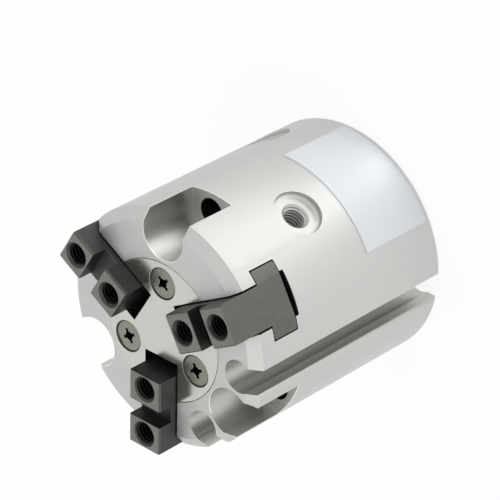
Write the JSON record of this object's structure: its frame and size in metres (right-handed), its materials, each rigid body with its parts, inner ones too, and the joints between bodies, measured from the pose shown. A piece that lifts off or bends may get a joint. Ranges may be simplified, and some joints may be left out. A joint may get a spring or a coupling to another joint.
{
  "type": "three jaw centric gripper",
  "caption": "Round air gripper: radial jaws with tapped pads slide together in T-slots across the body's front, driven by a wedge cam on the piston.",
  "frame": {"origin": "centre of the rear mounting face", "axes": "+Z along the body's axis from the rear mounting face to the jaws, +X along the travel of jaw 1"},
  "size_m": [0.0301, 0.03, 0.0347],
  "materials": {
    "anodised_body": "bead blasted, clear anodised",
    "plate_steel": "satin polished stainless",
    "screw_steel": "stainless, as machined",
    "jaw_steel": "ground and heat treated, dark",
    "cam_steel": "ground and heat treated",
    "black_screw": "black oxide",
    "copper_washer": "plain copper",
    "piston_aluminium": "hard anodised, turned",
    "black_rubber": "nitrile rubber",
    "wear_plastic": "acetal",
    "bonded_magnet": "magnet powder bound in resin",
    "stainless_washer": "stamped stainless",
    "bumper_urethane": "moulded urethane",
    "anodised_cap": "turned, clear anodised",
    "spring_steel": "phosphated spring steel",
    "label_film": "plain polyester film"
  },
  "bodies": {
    "housing": {"body": "anodised_body", "end_plate": "plate_steel", "plate_screw_1": "screw_steel", "plate_screw_2": "screw_steel", "plate_screw_3": "screw_steel", "rod_seal": "black_rubber", "seal_support": "stainless_washer", "front_bumper": "bumper_urethane", "rear_bumper": "bumper_urethane", "rear_cap": "anodised_cap", "cap_seal": "black_rubber", "retaining_ring": "spring_steel", "rating_label": "label_film"},
    "piston_unit": {"piston": "piston_aluminium", "piston_seal": "black_rubber", "wear_ring": "wear_plastic", "magnet_ring": "bonded_magnet", "wedge_cam": "cam_steel", "cam_screw": "black_screw", "cam_screw_washer": "copper_washer"},
    "jaw_1": {"jaw_1": "jaw_steel"},
    "jaw_2": {"jaw_2": "jaw_steel"},
    "jaw_3": {"jaw_3": "jaw_steel"}
  },
  "joints": [
    {"name": "piston_slide", "type": "slide", "parent": "housing", "child": "piston_unit", "axis": [0, 0, 1], "range_m": [-0.00162, 0.00088]},
    {"name": "jaw_1_slide", "type": "slide", "parent": "housing", "child": "jaw_1", "axis": [1, 0, 0], "range_m": [-0.0013, 0.0007]},
    {"name": "jaw_2_slide", "type": "slide", "parent": "housing", "child": "jaw_2", "axis": [-0.5, 0.866, 0], "range_m": [-0.0013, 0.0007]},
    {"name": "jaw_3_slide", "type": "slide", "parent": "housing", "child": "jaw_3", "axis": [-0.5, -0.866, 0], "range_m": [-0.0013, 0.0007]}
  ],
  "couplings": [
    {"joint": "jaw_1_slide", "follows": "piston_slide", "ratio": 0.8},
    {"joint": "jaw_2_slide", "follows": "piston_slide", "ratio": 0.8},
    {"joint": "jaw_3_slide", "follows": "piston_slide", "ratio": 0.8}
  ]
}
